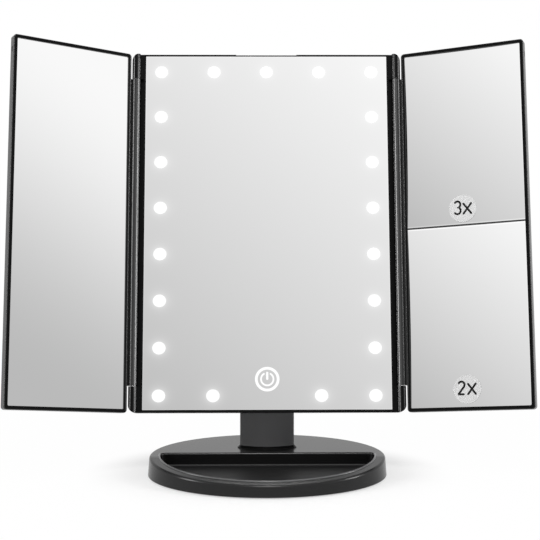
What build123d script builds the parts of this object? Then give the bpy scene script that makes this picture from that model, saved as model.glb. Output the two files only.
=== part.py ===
from build123d import *
import math
import os

# Trifold vanity mirror: an oval foot with a tray, a short neck, a lit centre head that tilts on the neck,
# and two folding wings. Millimetres, +Z up, the user stands towards -Y, and the origin is on the table
# under the middle of the foot.

# ---- foot -------------------------------------------------------------------------------------------
foot_half_width = 78.0        # oval foot at the table, middle to side
foot_half_depth = 59.0        # middle to front
foot_height = 13.0            # top of the flat rear part
foot_front_height = 8.3       # top of the rim at the very front
foot_slope_start = -5.0       # y where the top starts to fall towards the front
foot_crease = 40.0            # radius of the bend there
foot_draft = 1.0              # how much the walls lean in over their height
foot_wall = 2.2               # outer walls
foot_roof = 2.0               # top skin
foot_rounding = 1.5           # outer top edge
table_gap = 0.8               # walls end this far above the table
tray_rim_side = 7.2           # width of the rim round the tray at its ends
tray_rim_front = 7.8          # and at the front
tray_back = 5.0               # y of the straight rear wall of the tray
tray_floor = 4.4              # z of the tray's floor
tray_skin = 1.6               # floor and walls of the tray
tray_corner = 3.0             # plan radius where the rear wall meets the rim
tray_floor_round = 1.2
tray_edge_round = 1.2         # upper edge of the tray, all round
cover_thickness = 1.6         # flat cover under the foot
cover_clearance = 0.3
pad_radius = 6.0              # rubber pads under the foot
pad_seat = 0.4                # how deep the pads sit in the cover
pad_from_side = 26.0          # corner pads, from the foot's widest and deepest points
pad_from_front = 29.0
middle_screw_inset = 20.0     # two cover screws beside the tray's rear corners, from the widest point
middle_screw_behind = 11.0    # and behind the tray's rear wall
rear_screw_inset = 48.0       # two more at the back, from the widest point
rear_screw_from_back = 17.0   # and from the deepest point
boss_radius = 3.0
weight_thickness = 5.0        # steel plate in the rear of the foot
weight_margin = 1.6           # to the walls and round the bosses
spare = 5.0                   # how far a cutting block reaches past what it cuts

# ---- screws -----------------------------------------------------------------------------------------
screw_radius = 1.1
screw_head_radius = 2.1
screw_head_height = 1.2
screw_clearance = 0.06        # round a shank in its own hole
screw_end_gap = 0.5           # left in the hole past a screw's end
driver_half = 0.3             # half width of the driver slot
thin_head_height = 0.8        # the foot cover's flat heads

# ---- neck -------------------------------------------------------------------------------------------
neck_set_back = 3.0           # middle of the neck's plan, behind the tilt axis
neck_width = 36.0
neck_depth = 13.5
neck_side = 3.9               # depth of its straight sides, between the bowed front and back
neck_corner = 1.8
collar_reach = 1.7            # ring round the neck's foot, beyond the neck
collar_height = 1.7
collar_flare = 1.3            # bevel that makes the ring spread towards the foot
collar_clearance = 0.15
pivot_y = 18.5                # tilt axis, from the middle of the foot towards the back
pivot_z = 56.5                # and its height
barrel_radius = 4.2           # rounded top of the neck
blade_start = 24.0            # below the axis: where the neck starts to thin towards its top
blade_full = 16.0             # below the axis: where it is as thin as its barrel
spigot_depth = 6.0            # tongue that locates the neck in the foot
spigot_clearance = 0.1
neck_screw_inset = 3.5        # from the neck's sides, and from the tongue's ends
neck_screw_length = 11.0

# ---- tilt hinge -------------------------------------------------------------------------------------
rest_tilt = 15.6              # lean of the head from upright, at rest
pivot_depth = 14.5            # axis behind the centre glass
pivot_rise = 20.0             # axis above the head's lower edge
bolt_radius = 1.5
bolt_clearance = 0.05
bolt_head_radius = 2.9
bolt_head_height = 2.2
bolt_socket_radius = 1.2
nut_radius = 3.2
nut_height = 2.4
bolt_tail = 1.1               # thread that shows past the nut
bay_side_gap = 1.2            # neck to the bay's side walls, filled by the washers
washer_play = 0.2
washer_radius = 3.9
bay_top_gap = 1.8             # over the barrel
bay_front_wall = 1.2
ear_wall = 2.4
ear_boss = 2.4                # boss round the bolt, outside the ear
ear_radius = 5.0

# ---- centre head ------------------------------------------------------------------------------------
head_half_width = 83.0
head_height = 242.5
head_depth = 20.0
rim_side = 0.9
rim_top = 0.7
rim_bottom = 1.4
glass_gap = 0.1               # centre glass to its rim
glass_thickness = 2.0
glass_bevel = 0.5
frame_depth = 4.9             # front frame, behind its front face
ledge_width = 3.0             # seat behind the glass
ledge_thickness = 1.4
notch_half_width = 20.5       # finger notch in the top rim
notch_left = 0.3              # rim left at the bottom of the notch
housing_wall = 1.8
housing_rounding = 4.0
housing_rise = 1.4            # the rear housing's lower edge, above the front frame's

# ---- lights and touch button ------------------------------------------------------------------------
light_from_side = 12.0        # outer columns of lights
light_from_bottom = 11.1
light_from_top = 12.3
light_rows = 8
spreader_half = 4.4           # half width of the frosted strip behind the glass
spreader_thickness = 0.6
board_half = 3.6              # half width of the light board
board_thickness = 1.0
chip_size = (3.5, 2.8)
chip_height = 0.7
touch_z = 21.9
touch_radius = 5.9
touch_thickness = 0.8

# ---- rear fittings ----------------------------------------------------------------------------------
post_radius = 1.8             # posts that press the light board forward
housing_screw_from_side = 5.0
housing_screw_from_end = 32.0
frame_boss_radius = 2.3
frame_boss_depth = 9.0        # y where frame boss and housing column meet
column_radius = 3.6           # housing column round each screw
column_seat = 1.8             # material under the screw head
counterbore_gap = 0.1
housing_screw_length = 7.0
board_gap = 1.8               # from the tilt bolt's head to the control board
board_width = 34.0
board_height = 28.8
board_above_wall = 0.4        # over the housing's lower wall
board_standoff = 4.2          # from the housing's rear wall to the board's front face
control_thickness = 1.2
board_screw_inset = 3.5
socket_along = 16.0           # charging socket in the lower edge, from the board's inner end
socket_width = 7.5
socket_height = 2.6
socket_length = 5.6
socket_skin = 0.35
socket_gap = 0.15
switch_along = 22.0           # from the board's inner end
switch_above = 14.8           # and from its lower edge
switch_size = (8.6, 3.8)
switch_travel = 3.0
knob_size = (3.0, 1.8)
knob_proud = 1.2
knob_gap = 0.25
switch_base = 0.8             # floor of the switch under its knob
controller_size = (6.0, 5.0, 1.4)
controller_along = 8.0        # from the board's inner end
controller_above = 14.8       # and from its lower edge

# ---- battery box ------------------------------------------------------------------------------------
cell_radius = 5.25            # four small round cells
cell_length = 44.5
cell_count = 4
cell_play = 0.3
cell_nub_radius = 1.9
cell_nub_height = 0.9
battery_above_bay = 40.0      # lower end of the box, from the top of the neck bay
battery_skin = 1.2
spring_room = 3.4             # for the springs at the negative ends
plate_thickness = 0.4         # contact plates
door_thickness = 1.6
door_lip = 2.4                # ledge that carries the door, each side
door_gap = 0.3
door_edge = 0.3               # bevel round the door
scoop_radius = 8.0            # finger scoop above the door
scoop_depth = 1.0

# ---- wing hinges ------------------------------------------------------------------------------------
hinge_forward = 0.6           # axis in front of the centre glass
knuckle_radius = 2.8
barrel_gap = 2.2              # from the head's side to the wing barrel
knuckle_length = 17.2         # fixed knuckle at each end
knuckle_gap = 0.4             # between fixed knuckle and wing barrel, along the axis
knuckle_end_round = 5.4
web_front = 0.1               # the fixed knuckle's web lies this far behind the glass face
strip_clearance = 0.6         # strip behind the wing barrel that closes the gap to the head
strip_thickness = 1.5
strip_overlap = 1.1           # how far the strip reaches behind the barrel
pin_radius = 1.0
pin_fit = 0.02                # in the fixed knuckle
pin_running = 0.05            # in the wing barrel
pin_in_knuckle = 13.0
pin_in_barrel = 12.0
barrel_web = (0.9, 3.6)       # depth of the web between wing barrel and wing frame

# ---- wings ------------------------------------------------------------------------------------------
wing_slit = 0.45              # from the fixed knuckles to the frame's inner edge
shut_gap = 2.0                # between the two wings when both are shut
wing_thickness = 6.2
wing_rim = 2.5
wing_wall = 1.6
wing_lip = 0.6                # front lip over the mirror's edge
wing_corner = 2.2
wing_edge_round = 0.8
wing_fit = 0.15
left_swing = 30.4             # towards the user from flat, at rest
right_swing = 23.3
plain_thickness = 1.8         # of the plain mirror
strong_radius = 1200.0        # concave radius of the upper right mirror
mild_radius = 1600.0          # and of the lower right mirror
concave_thickness = 3.0       # of both at their corners
divider_width = 0.9
divider_gap = 0.1
divider_recess = 0.1
wing_cover = 1.6
wing_cover_inset = 0.2
pry_slot_from_top = 7.9       # small slot in the outer side
pry_slot_length = 3.6
pry_slot_width = 1.2
pry_slot_depth = 0.8
label_inward = 1.9            # magnification discs, from the middle of the wing towards its hinge
label_radius = 9.2
lower_label_z = 13.9          # middle of the lower disc, from the wing's lower edge
upper_label_rise = 11.2       # middle of the upper disc above the divider
label_thickness = 0.15
label_bond = 0.1              # glue between disc and mirror

# ---- worked out from the sizes above ----------------------------------------------------------------
cover_top = table_gap + cover_thickness
neck_y = pivot_y + neck_set_back
weight_front = tray_back + tray_skin + weight_margin
neck_screw_x = neck_width / 2 - neck_screw_inset
spigot_width = 2 * (neck_screw_x - neck_screw_inset)
slope = (foot_height - foot_front_height) / (foot_half_depth - foot_draft + foot_slope_start)
bay_half = neck_width / 2 + bay_side_gap
bay_top = pivot_rise + barrel_radius + bay_top_gap
light_x = head_half_width - light_from_side
light_top = head_height - light_from_top
light_pitch = (light_top - light_from_bottom) / (light_rows - 1)
spreader_back = glass_thickness + spreader_thickness
board_front = frame_depth - board_thickness
rear_inside = head_depth - housing_wall
ear_reach = bay_half + ear_wall + ear_boss
housing_screw_x = head_half_width - housing_screw_from_side
board_left = ear_reach + bolt_head_height + board_gap
board_low = housing_rise + housing_wall + board_above_wall
board_y = rear_inside - board_standoff
socket_x = board_left + socket_along
switch_x = board_left + switch_along
switch_z = board_low + switch_above
knob_seat = board_y + control_thickness + switch_base
cell_pitch = 2 * cell_radius + cell_play
box_half = cell_count * cell_pitch / 2
box_length = cell_length + cell_nub_height + spring_room + 2 * plate_thickness
battery_low = bay_top + battery_above_bay
door_front = head_depth - door_thickness
cell_y = door_front - cell_play - cell_radius
box_front = cell_y - cell_radius - cell_play
hinge_x = head_half_width + barrel_gap + knuckle_radius
strip_front = knuckle_radius - hinge_forward + strip_clearance
strip_back = strip_front + strip_thickness
strip_edge = head_half_width + barrel_gap + strip_overlap
barrel_low = knuckle_length + knuckle_gap
wing_inner = knuckle_radius + wing_slit
wing_outer = hinge_x - shut_gap / 2
wing_middle = (wing_inner + wing_outer) / 2
wing_front = hinge_forward
wing_back = wing_front + wing_thickness
mirror_front = wing_front + wing_lip
cover_back = wing_back - wing_cover_inset
cover_front = cover_back - wing_cover
divider_z = head_height / 2


# ---- helpers ----------------------------------------------------------------------------------------
def block(x, y, z):
    """A box between two values of x, of y and of z."""
    middle = [(low + high) / 2 for low, high in (x, y, z)]
    return Pos(*middle) * Box(x[1] - x[0], y[1] - y[0], z[1] - z[0])


def rod_x(radius, x, y, z):
    """A round rod along X between two values of x."""
    return Pos((x[0] + x[1]) / 2, y, z) * Rot(0, 90, 0) * Cylinder(radius, x[1] - x[0])


def rod_y(radius, x, y, z):
    """A round rod along Y between two values of y."""
    return Pos(x, (y[0] + y[1]) / 2, z) * Rot(90, 0, 0) * Cylinder(radius, y[1] - y[0])


def rod_z(radius, x, y, z):
    """A round rod along Z between two values of z."""
    return Pos(x, y, (z[0] + z[1]) / 2) * Cylinder(radius, z[1] - z[0])


def front_prism(outline, y):
    """An outline seen from the front (x across, z up) made solid between two depths."""
    return Pos(0, y[1], 0) * Rot(90, 0, 0) * extrude(outline, y[1] - y[0])


def side_prism(points, half_x):
    """An outline seen from the side, as (y, z) points, made solid to half_x each side of the middle."""
    outline = make_face(Polyline(*points, close=True).edges())
    return extrude(Plane.YZ * outline, half_x, both=True)


def mirrored_pair(shape):
    """The shape and its mirror image in the middle plane."""
    return Part() + [shape, mirror(shape, about=Plane.YZ)]


def in_head(shape):
    """Moves a piece from the upright head, glass face at y = 0, to the tilted head on its neck."""
    return Pos(0, pivot_y, pivot_z) * Rot(-rest_tilt, 0, 0) * Pos(0, -pivot_depth, -pivot_rise) * shape


def in_wing(side, shape):
    """Moves a piece from a wing, hinge axis at the origin and x outwards, to its place on the head."""
    hand = shape if side > 0 else mirror(shape, about=Plane.YZ)
    swing = right_swing if side > 0 else left_swing
    return in_head(Pos(side * hinge_x, -hinge_forward, 0) * Rot(0, 0, -side * swing) * hand)


# ---- foot -------------------------------------------------------------------------------------------
def oval_block(inset, low, high):
    """The foot's leaning oval between two heights, moved in by inset."""
    lean = foot_draft / (foot_height - table_gap)

    def section(z):
        inward = inset + lean * (z - table_gap)
        return Pos(0, 0, z) * Ellipse(foot_half_width - inward, foot_half_depth - inward)

    return loft([section(low), section(high)])


def above_slope(drop):
    """What lies over the falling front part of the top, lowered by drop."""
    top = foot_height - drop
    far = -foot_half_depth - spare
    far_z = top - slope * (foot_slope_start - far)
    above = foot_height + spare
    points = ((-foot_slope_start, top), (foot_slope_start, top), (far, far_z), (far, above),
              (-foot_slope_start, above))
    outline = make_face(Polyline(*points, close=True).edges())
    crease = outline.vertices().sort_by_distance((foot_slope_start, top))[0]
    outline = fillet(crease, foot_crease)
    return extrude(Plane.YZ * outline, foot_half_width + spare, both=True)


def tray_block(grow, low):
    """The D-shaped tray, grown by the skin's thickness, from low up to above the foot."""
    half_x = foot_half_width - foot_draft - tray_rim_side + grow
    half_y = foot_half_depth - foot_draft - tray_rim_front + grow
    back = tray_back + grow
    front_part = Pos(0, back - half_y) * Rectangle(2 * (half_x + spare), 2 * half_y)
    outline = Ellipse(half_x, half_y) & front_part
    corners = outline.vertices().group_by(Axis.Y)[-1]
    outline = fillet(corners, tray_corner + grow)
    return extrude(Pos(0, 0, low) * outline, foot_height + spare - low)


def cover_screw_points():
    """Middles of the four screws that hold the foot's cover."""
    middle_pair = (foot_half_width - middle_screw_inset, tray_back + middle_screw_behind)
    rear_pair = (foot_half_width - rear_screw_inset, foot_half_depth - rear_screw_from_back)
    return [(side * x, y) for x, y in (middle_pair, rear_pair) for side in (-1, 1)]


def make_foot_shell():
    roof = foot_height - foot_roof
    shell = oval_block(0, table_gap, foot_height) - above_slope(0)
    curved = shell.edges().filter_by(GeomType.LINE, reverse=True)
    shell = fillet(curved.filter_by(lambda edge: edge.center().Z > cover_top), foot_rounding)
    hollow = oval_block(foot_wall, table_gap, roof) - above_slope(foot_roof)
    hollow -= tray_block(tray_skin, tray_floor - tray_skin)
    shell -= hollow
    tray = tray_block(0, tray_floor)
    tray = fillet(tray.faces().sort_by(Axis.Z)[0].edges(), tray_floor_round)
    shell -= tray
    mouth = tray_block(tray_skin / 2, foot_front_height)
    level = shell.edges().filter_by(Axis.Z, reverse=True)
    shell = fillet(level.filter_by(lambda edge: mouth.is_inside(edge @ 0.5)), tray_edge_round)
    for x, y in cover_screw_points():
        shell += rod_z(boss_radius, x, y, (cover_top, roof + foot_roof / 2))
    for x, y in cover_screw_points():
        shell -= rod_z(screw_radius + screw_clearance, x, y, (cover_top, roof))
    gap = 2 * spigot_clearance
    shell -= extrude(Pos(0, neck_y, roof) * Rectangle(spigot_width + gap, spigot_depth + gap), foot_roof)
    for side in (-1, 1):
        shell -= rod_z(screw_radius + screw_clearance, side * neck_screw_x, neck_y, (roof, foot_height))
    return shell


def make_foot_cover():
    plate = oval_block(foot_wall + cover_clearance, table_gap, cover_top)
    for x, y in cover_screw_points():
        plate -= rod_z(screw_radius + screw_clearance, x, y, (table_gap, cover_top))
        plate -= rod_z(screw_head_radius + counterbore_gap, x, y, (table_gap, table_gap + thin_head_height))
    for x, y in pad_points():
        plate -= rod_z(pad_radius + screw_clearance, x, y, (table_gap, table_gap + pad_seat))
    return plate


def pad_points():
    """Middles of the five rubber pads."""
    x, y = foot_half_width - pad_from_side, foot_half_depth - pad_from_front
    return [(0, 0)] + [(across * x, deep * y) for across in (-1, 1) for deep in (-1, 1)]


def make_foot_pads():
    pads = []
    for x, y in pad_points():
        pad = rod_z(pad_radius, x, y, (0, table_gap + pad_seat))
        pads.append(chamfer(pad.edges().group_by(Axis.Z)[0], table_gap / 4))
    return Part() + pads


def make_foot_weight():
    inset = foot_wall + weight_margin
    plate = oval_block(inset, cover_top, cover_top + weight_thickness)
    plate -= block((-foot_half_width, foot_half_width), (-foot_half_depth, weight_front), (0, foot_height))
    for x, y in cover_screw_points():
        plate -= rod_z(boss_radius + weight_margin, x, y, (0, foot_height))
    return plate


def make_cover_screws():
    screws = []
    seat = table_gap + thin_head_height
    for x, y in cover_screw_points():
        head = rod_z(screw_head_radius, x, y, (table_gap, seat))
        head -= block((x - screw_radius, x + screw_radius), (y - driver_half, y + driver_half),
                      (table_gap, table_gap + thin_head_height / 2))
        screws.append(head + rod_z(screw_radius, x, y, (seat, foot_height - foot_roof - screw_end_gap)))
    return Part() + screws


# ---- neck -------------------------------------------------------------------------------------------
def neck_outline():
    """Plan of the neck: bowed front and back, short straight sides, rounded corners."""
    sag = (neck_depth - neck_side) / 2
    bow = ((neck_width / 2)**2 + sag**2) / (2 * sag)
    shift = bow - neck_depth / 2
    bows = (Pos(0, shift) * Circle(bow)) & (Pos(0, -shift) * Circle(bow))
    outline = Rectangle(neck_width, neck_depth) & bows
    return fillet(outline.vertices(), neck_corner)


def make_neck():
    neck = extrude(Pos(0, neck_y, foot_height) * neck_outline(), pivot_z - foot_height)
    front, back = neck_y - neck_depth / 2, neck_y + neck_depth / 2
    low, high = pivot_z - blade_start, pivot_z - blade_full
    side_view = ((front, foot_height), (back, foot_height), (back, low), (pivot_y + barrel_radius, high),
                 (pivot_y + barrel_radius, pivot_z), (front, pivot_z))
    neck &= side_prism(side_view, neck_width)
    neck += rod_x(barrel_radius, (-neck_width / 2, neck_width / 2), pivot_y, pivot_z)
    neck -= rod_x(bolt_radius + bolt_clearance, (-neck_width / 2, neck_width / 2), pivot_y, pivot_z)
    roof = foot_height - foot_roof
    neck += extrude(Pos(0, neck_y, roof) * Rectangle(spigot_width, spigot_depth), foot_roof)
    for side in (-1, 1):
        reach = (foot_height, roof + neck_screw_length)
        neck -= rod_z(screw_radius + screw_clearance, side * neck_screw_x, neck_y, reach)
    return neck


def make_neck_collar():
    place = Pos(0, neck_y, foot_height)
    ring = extrude(place * offset(neck_outline(), collar_reach), collar_height)
    ring = chamfer(ring.faces().sort_by(Axis.Z)[-1].edges(), collar_flare)
    return ring - extrude(place * offset(neck_outline(), collar_clearance), collar_height)


def make_neck_screws():
    roof = foot_height - foot_roof
    screws = []
    for side in (-1, 1):
        x = side * neck_screw_x
        head = rod_z(screw_head_radius, x, neck_y, (roof - screw_head_height, roof))
        screws.append(head + rod_z(screw_radius, x, neck_y, (roof, roof + neck_screw_length)))
    return Part() + screws


# ---- tilt hinge, in the upright head ----------------------------------------------------------------
def make_tilt_bolt():
    seat = ear_reach
    head = rod_x(bolt_head_radius, (seat, seat + bolt_head_height), pivot_depth, pivot_rise)
    shank = rod_x(bolt_radius, (-seat - nut_height - bolt_tail, seat), pivot_depth, pivot_rise)
    recess = Pos(seat + bolt_head_height, pivot_depth, pivot_rise) * Rot(0, 90, 0)
    recess *= Cylinder(bolt_socket_radius, bolt_head_height)
    return head + shank - recess


def make_tilt_nut():
    outline = RegularPolygon(nut_radius, 6) - Circle(bolt_radius + screw_clearance)
    nut = Rot(0, 90, 0) * extrude(outline, nut_height)
    return Pos(-ear_reach - nut_height, pivot_depth, pivot_rise) * nut


def make_tilt_washers():
    start = bay_half - (bay_side_gap - washer_play)
    ring = rod_x(washer_radius, (start, bay_half), pivot_depth, pivot_rise)
    ring -= rod_x(bolt_radius + bolt_clearance, (start, bay_half), pivot_depth, pivot_rise)
    return mirrored_pair(ring)


# ---- centre head, upright ---------------------------------------------------------------------------
def glass_box(gap, y):
    """The centre glass's field, smaller by gap all round, between two depths."""
    half = head_half_width - rim_side - gap
    return block((-half, half), y, (rim_bottom + gap, head_height - rim_top - gap))


def make_fixed_knuckles():
    """The four knuckles on the head, right-hand pair, with their webs and the strip behind the barrel."""
    inside = head_half_width - rim_side
    spans = ((0, knuckle_length), (head_height - knuckle_length, head_height))
    knuckles = Part()
    for span in spans:
        knuckles += rod_z(knuckle_radius, hinge_x, -hinge_forward, span)
        knuckles += block((inside, hinge_x), (web_front, strip_back), span)
    knuckles += block((inside, strip_edge), (strip_front, strip_back), (0, head_height))
    field = RectangleRounded(2 * (hinge_x + knuckle_radius), head_height, knuckle_end_round)
    knuckles &= front_prism(Pos(0, head_height / 2) * field, (-2 * knuckle_radius, strip_back))
    for span in ((knuckle_length - pin_in_knuckle, knuckle_length),
                 (head_height - knuckle_length, head_height - knuckle_length + pin_in_knuckle)):
        knuckles -= rod_z(pin_radius + pin_fit, hinge_x, -hinge_forward, span)
    return knuckles


def housing_screw_points():
    """Middles of the screws that hold the rear housing, as (x, z)."""
    heights = (housing_screw_from_end, head_height / 2, head_height - housing_screw_from_end)
    return [(side * housing_screw_x, z) for z in heights for side in (-1, 1)]


def make_head_frame():
    frame = block((-head_half_width, head_half_width), (0, frame_depth), (0, head_height))
    frame -= glass_box(0, (0, glass_thickness))
    frame -= glass_box(ledge_width, (0, frame_depth))
    frame -= glass_box(0, (glass_thickness + ledge_thickness, frame_depth))
    frame += mirrored_pair(make_fixed_knuckles())
    notch_low = head_height - rim_top + notch_left
    frame -= block((-notch_half_width, notch_half_width), (0, frame_depth), (notch_low, head_height))
    for x, z in housing_screw_points():
        frame += rod_y(frame_boss_radius, x, (glass_thickness, frame_boss_depth), z)
    for x, z in housing_screw_points():
        pilot = frame_boss_depth + column_seat - housing_screw_length
        frame -= rod_y(screw_radius + screw_clearance, x, (pilot, frame_boss_depth), z)
    return frame


def make_centre_glass():
    glass = glass_box(glass_gap, (0, glass_thickness))
    return chamfer(glass.faces().sort_by(Axis.Y)[0].edges(), glass_bevel)


def light_points():
    """Middles of the lights as (x, z): two columns, a full top row, and a bottom row with no middle light."""
    rows = [light_from_bottom + i * light_pitch for i in range(light_rows)]
    points = [(side * light_x, z) for z in rows for side in (-1, 1)]
    points += [(side * light_x / 2, z) for z in (light_from_bottom, light_top) for side in (-1, 1)]
    return points + [(0, light_top)]


def light_ring(half, y):
    """A rectangular strip that follows the lights, between two depths."""
    middle = (light_from_bottom + light_top) / 2
    tall = light_top - light_from_bottom
    ring = Rectangle(2 * (light_x + half), tall + 2 * half) - Rectangle(2 * (light_x - half), tall - 2 * half)
    return front_prism(Pos(0, middle) * ring, y)


def make_light_spreader():
    return light_ring(spreader_half, (glass_thickness, spreader_back))


def make_light_board():
    return light_ring(board_half, (board_front, frame_depth))


def make_light_chips():
    half_x, half_z = chip_size[0] / 2, chip_size[1] / 2
    deep = (board_front - chip_height, board_front)
    chips = [block((x - half_x, x + half_x), deep, (z - half_z, z + half_z)) for x, z in light_points()]
    return Part() + chips


def make_touch_pad():
    return rod_y(touch_radius, 0, (glass_thickness, glass_thickness + touch_thickness), touch_z)


def make_rear_housing():
    shell = block((-head_half_width, head_half_width), (frame_depth, head_depth), (housing_rise, head_height))
    shell = fillet(shell.faces().sort_by(Axis.Y)[-1].edges(), housing_rounding)
    outer = shell
    inside = head_half_width - housing_wall
    inner_low = housing_rise + housing_wall
    shell -= block((-inside, inside), (frame_depth, rear_inside), (inner_low, head_height - housing_wall))

    # neck bay, open below and behind
    side = bay_half + ear_wall
    bay_inside = frame_depth + bay_front_wall
    shell += block((-side, side), (frame_depth, head_depth), (housing_rise, bay_top + housing_wall))
    shell += rod_x(ear_radius, (-ear_reach, ear_reach), pivot_depth, pivot_rise) & outer
    shell -= block((-bay_half, bay_half), (bay_inside, head_depth), (0, bay_top))
    shell -= rod_x(bolt_radius + screw_clearance, (-ear_reach, ear_reach), pivot_depth, pivot_rise)

    # posts behind the light board, and columns for the housing screws
    for x, z in post_points():
        shell += rod_y(post_radius, x, (frame_depth, rear_inside), z)
    for x, z in housing_screw_points():
        shell += rod_y(column_radius, x, (frame_boss_depth, rear_inside), z)
    for x, z in housing_screw_points():
        seat = frame_boss_depth + column_seat
        shell -= rod_y(screw_radius + screw_clearance, x, (frame_boss_depth, seat), z)
        shell -= rod_y(screw_head_radius + counterbore_gap, x, (seat, head_depth), z)

    # control board posts, charging socket mouth and switch slot
    for x, z in board_screw_points():
        shell += rod_y(boss_radius, x, (board_y + control_thickness, rear_inside), z)
        shell -= rod_y(screw_radius + screw_clearance, x, (board_y + control_thickness, rear_inside), z)
    half = socket_width / 2 + socket_gap
    shell -= block((socket_x - half, socket_x + half),
                   (board_y - socket_height - socket_gap, board_y + socket_gap), (housing_rise, inner_low))
    slot_x = knob_size[0] / 2 + switch_travel / 2 + knob_gap
    slot_z = knob_size[1] / 2 + knob_gap
    shell -= block((switch_x - slot_x, switch_x + slot_x), (rear_inside, head_depth),
                   (switch_z - slot_z, switch_z + slot_z))
    return battery_box(shell)


def post_points():
    """Posts that hold the light board, as (x, z), each between two lights."""
    rows = (1, light_rows - 3)
    heights = [light_from_bottom + (row + 0.5) * light_pitch for row in rows]
    places = [(side * light_x, z) for z in heights for side in (-1, 1)]
    return places + [(side * light_x / 4, light_top) for side in (-1, 1)]


def battery_box(shell):
    """Adds the battery box with its door seat to the rear housing."""
    skin, low, high = battery_skin, battery_low, battery_low + box_length
    outer = box_half + skin
    shell += block((-outer, outer), (box_front - skin, rear_inside), (low - skin, high + skin))
    lip = box_half + door_lip
    outer = lip + skin
    tall = (low - door_lip - skin, high + door_lip + skin)
    shell += block((-outer, outer), (door_front - skin, rear_inside), tall)
    shell -= block((-box_half, box_half), (box_front, head_depth), (low, high))
    shell -= block((-lip, lip), (door_front, head_depth), (low - door_lip, high + door_lip))
    return shell - rod_y(scoop_radius, 0, (head_depth - scoop_depth, head_depth), high + door_lip)


def make_housing_screws():
    screws = []
    seat = frame_boss_depth + column_seat
    for x, z in housing_screw_points():
        head = rod_y(screw_head_radius, x, (seat, seat + screw_head_height), z)
        head = chamfer(head.edges().group_by(Axis.Y)[-1], screw_head_height / 3)
        slot_y = (seat + screw_head_height / 2, seat + screw_head_height)
        slot = block((x - screw_radius, x + screw_radius), slot_y, (z - driver_half, z + driver_half))
        shank = rod_y(screw_radius, x, (seat - housing_screw_length + screw_end_gap, seat), z)
        screws.append(head - slot + shank)
    return Part() + screws


# ---- control board and its fittings, in the upright head --------------------------------------------
def board_screw_points():
    """Middles of the board's two screws, in opposite corners, as (x, z)."""
    inset = board_screw_inset
    return [(board_left + inset, board_low + board_height - inset),
            (board_left + board_width - inset, board_low + inset)]


def make_control_board():
    board = block((board_left, board_left + board_width), (board_y, board_y + control_thickness),
                  (board_low, board_low + board_height))
    for x, z in board_screw_points():
        board -= rod_y(screw_radius + screw_clearance, x, (board_y, board_y + control_thickness), z)
    return board


def make_control_chip():
    x, z = board_left + controller_along, board_low + controller_above
    wide, tall, deep = controller_size
    chip = block((x - wide / 2, x + wide / 2), (board_y - deep, board_y), (z - tall / 2, z + tall / 2))
    return chamfer(chip.faces().sort_by(Axis.Y)[0].edges(), deep / 6)


def make_board_screws():
    screws = []
    for x, z in board_screw_points():
        head = rod_y(screw_head_radius, x, (board_y - screw_head_height, board_y), z)
        screws.append(head + rod_y(screw_radius, x, (board_y, rear_inside - screw_end_gap), z))
    return Part() + screws


def make_charging_socket():
    low, half = housing_rise + socket_gap, socket_width / 2
    deep = (board_y - socket_height, board_y)
    socket = block((socket_x - half, socket_x + half), deep, (low, low + socket_length))
    socket = chamfer(socket.edges().filter_by(Axis.Z).group_by(Axis.Y)[0], socket_height / 4)
    inner = block((socket_x - half + socket_skin, socket_x + half - socket_skin),
                  (deep[0] + socket_skin, deep[1] - socket_skin), (low, low + socket_length - socket_skin))
    inner = chamfer(inner.edges().filter_by(Axis.Z).group_by(Axis.Y)[0], socket_height / 4)
    middle = sum(deep) / 2
    tongue = block((socket_x - half / 2, socket_x + half / 2), (middle - 0.3, middle + 0.3),
                   (low + 1, low + socket_length))
    return socket - inner + tongue


def make_switch_body():
    wide, tall = switch_size
    back = rear_inside - knob_gap
    body = block((switch_x - wide / 2, switch_x + wide / 2), (board_y + control_thickness, back),
                 (switch_z - tall / 2, switch_z + tall / 2))
    reach = (knob_size[0] + switch_travel) / 2 + knob_gap
    half_z = knob_size[1] / 2 + knob_gap
    return body - block((switch_x - reach, switch_x + reach), (knob_seat, back),
                        (switch_z - half_z, switch_z + half_z))


def make_switch_knob():
    x = switch_x - switch_travel / 2
    half_x, half_z = knob_size[0] / 2, knob_size[1] / 2
    tall = (switch_z - half_z, switch_z + half_z)
    knob = block((x - half_x, x + half_x), (knob_seat, head_depth + knob_proud), tall)
    knob = chamfer(knob.faces().sort_by(Axis.Y)[-1].edges(), knob_proud / 4)
    return knob - rod_z(knob_proud / 3, x, head_depth + knob_proud, tall)


# ---- batteries, in the upright head -----------------------------------------------------------------
def cell_places():
    """Middle x of each cell and whether its nub points up."""
    first = -(cell_count - 1) / 2 * cell_pitch
    return [(first + i * cell_pitch, i % 2 == 0) for i in range(cell_count)]


def upright_or_flipped(shape, up):
    """Turns a cell's own fitting end for end in the battery box when its nub points down."""
    if up:
        return shape
    middle = battery_low + box_length / 2
    return Pos(0, 0, middle) * Rot(0, 180, 0) * Pos(0, 0, -middle) * shape


def cell_span():
    """Lower and upper end of a cell's can when its nub points up."""
    low = battery_low + plate_thickness + spring_room
    return low, low + cell_length


def make_battery_cells():
    cells = []
    low, high = cell_span()
    for x, up in cell_places():
        can = rod_z(cell_radius, x if up else -x, cell_y, (low, high))
        can = fillet(can.edges().group_by(Axis.Z)[-1], 0.8)
        nub = rod_z(cell_nub_radius, x if up else -x, cell_y, (high, high + cell_nub_height))
        cells.append(upright_or_flipped(can + nub, up))
    return Part() + cells


def make_battery_springs():
    springs = []
    low, high = battery_low + plate_thickness, battery_low + plate_thickness + spring_room
    coils = 5
    wire = spring_room / (2 * coils) + 0.05
    for x, up in cell_places():
        coil = Part()
        for i in range(coils):
            z = low + wire + i * (high - low - 2 * wire) / (coils - 1)
            radius = cell_radius * (0.72 - 0.07 * i)
            coil += Pos(x if up else -x, cell_y, z) * Torus(radius, wire)
        springs.append(upright_or_flipped(coil, up))
    return Part() + springs


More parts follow.
